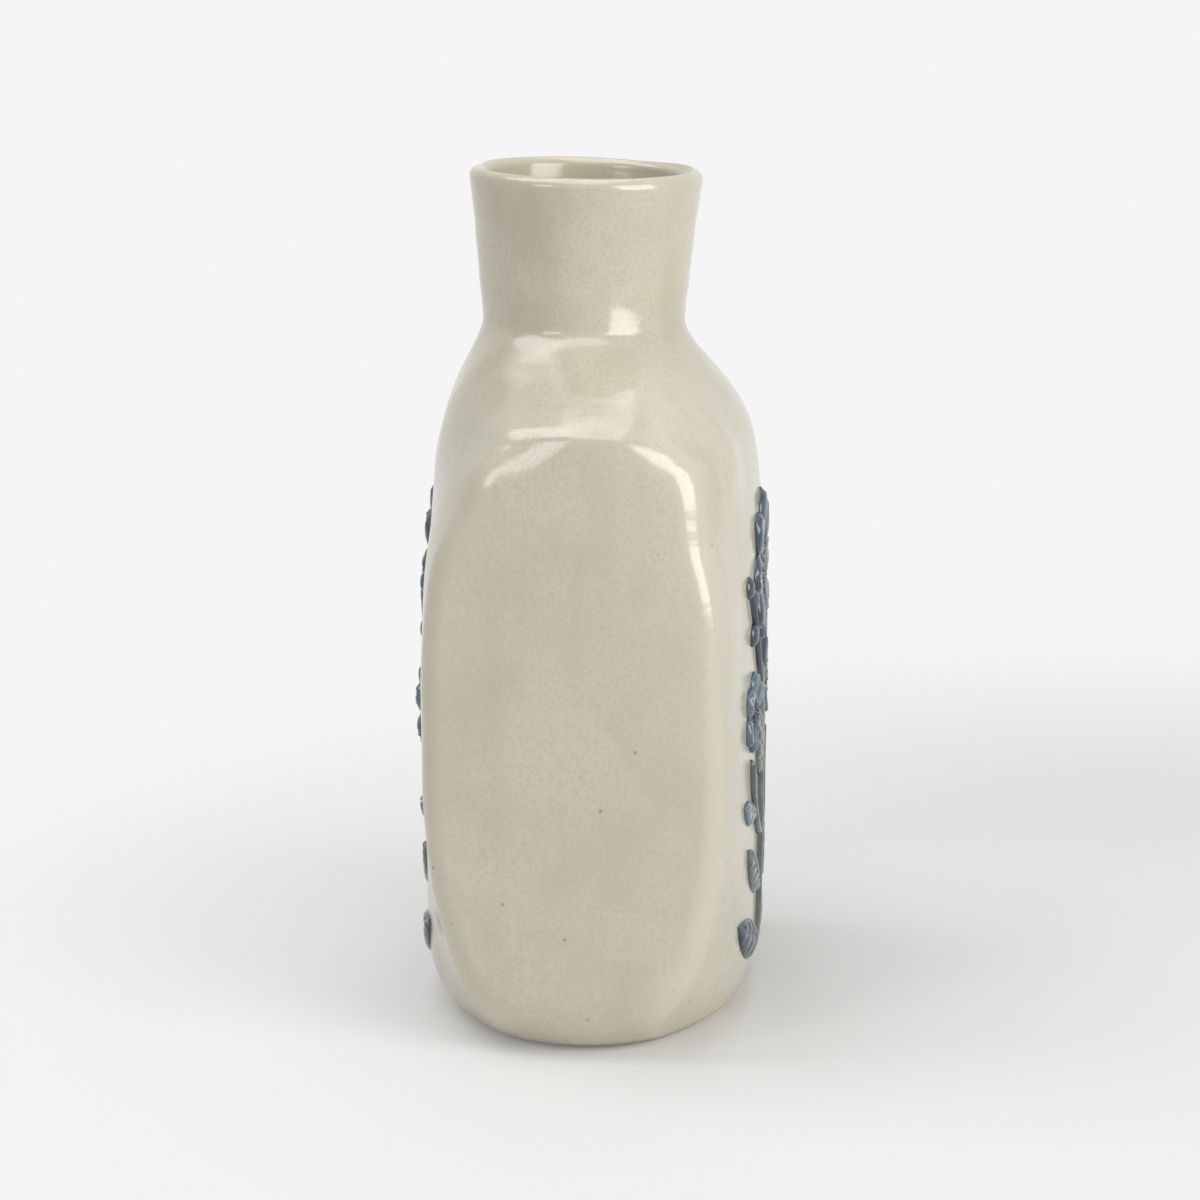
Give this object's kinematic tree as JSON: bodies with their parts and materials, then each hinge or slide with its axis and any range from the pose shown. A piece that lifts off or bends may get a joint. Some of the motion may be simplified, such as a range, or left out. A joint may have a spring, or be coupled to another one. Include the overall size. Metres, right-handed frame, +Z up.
{
  "type": "pillow vase",
  "caption": "Hand-built glazed stoneware pillow vase with broad crowned faces, narrow arched sides, a round flared neck and raised flower sprays.",
  "frame": {"origin": "middle of the flat base, on the surface that the vase stands on", "axes": "+Z up through the neck, +X along the broad faces towards the right gusset, +Y through the back face"},
  "size_m": [0.118, 0.082, 0.2],
  "materials": {
    "cream_glaze": "glossy cream glaze with sparse iron specks",
    "navy_glaze": "glossy navy over relief, breaking lighter on the edges",
    "slate_glaze": "glossy slate blue over relief",
    "sage_glaze": "glossy grey-green over relief"
  },
  "bodies": {
    "root": {"back_left_basal_leaf": "navy_glaze", "back_left_berry_twig": "navy_glaze", "back_left_blossom": "slate_glaze", "back_left_branch": "sage_glaze", "back_left_branch_leaf": "slate_glaze", "back_left_button": "navy_glaze", "back_left_lower_leaf": "sage_glaze", "back_left_upper_leaf": "sage_glaze", "back_right_basal_leaf": "navy_glaze", "back_right_berry_twig": "navy_glaze", "back_right_blossom": "slate_glaze", "back_right_branch": "sage_glaze", "back_right_branch_leaf": "slate_glaze", "back_right_button": "navy_glaze", "back_right_lower_leaf": "sage_glaze", "back_right_upper_leaf": "sage_glaze", "back_slab": "cream_glaze", "back_stem": "sage_glaze", "back_top_blossom": "navy_glaze", "back_top_button": "sage_glaze", "base_slab": "cream_glaze", "front_left_basal_leaf": "navy_glaze", "front_left_berry_twig": "navy_glaze", "front_left_blossom": "slate_glaze", "front_left_branch": "sage_glaze", "front_left_branch_leaf": "slate_glaze", "front_left_button": "navy_glaze", "front_left_lower_leaf": "sage_glaze", "front_left_upper_leaf": "sage_glaze", "front_right_basal_leaf": "navy_glaze", "front_right_berry_twig": "navy_glaze", "front_right_blossom": "slate_glaze", "front_right_branch": "sage_glaze", "front_right_branch_leaf": "slate_glaze", "front_right_button": "navy_glaze", "front_right_lower_leaf": "sage_glaze", "front_right_upper_leaf": "sage_glaze", "front_slab": "cream_glaze", "front_stem": "sage_glaze", "front_top_blossom": "navy_glaze", "front_top_button": "sage_glaze", "left_gusset": "cream_glaze", "neck_collar": "cream_glaze", "right_gusset": "cream_glaze"}
  },
  "joints": []
}
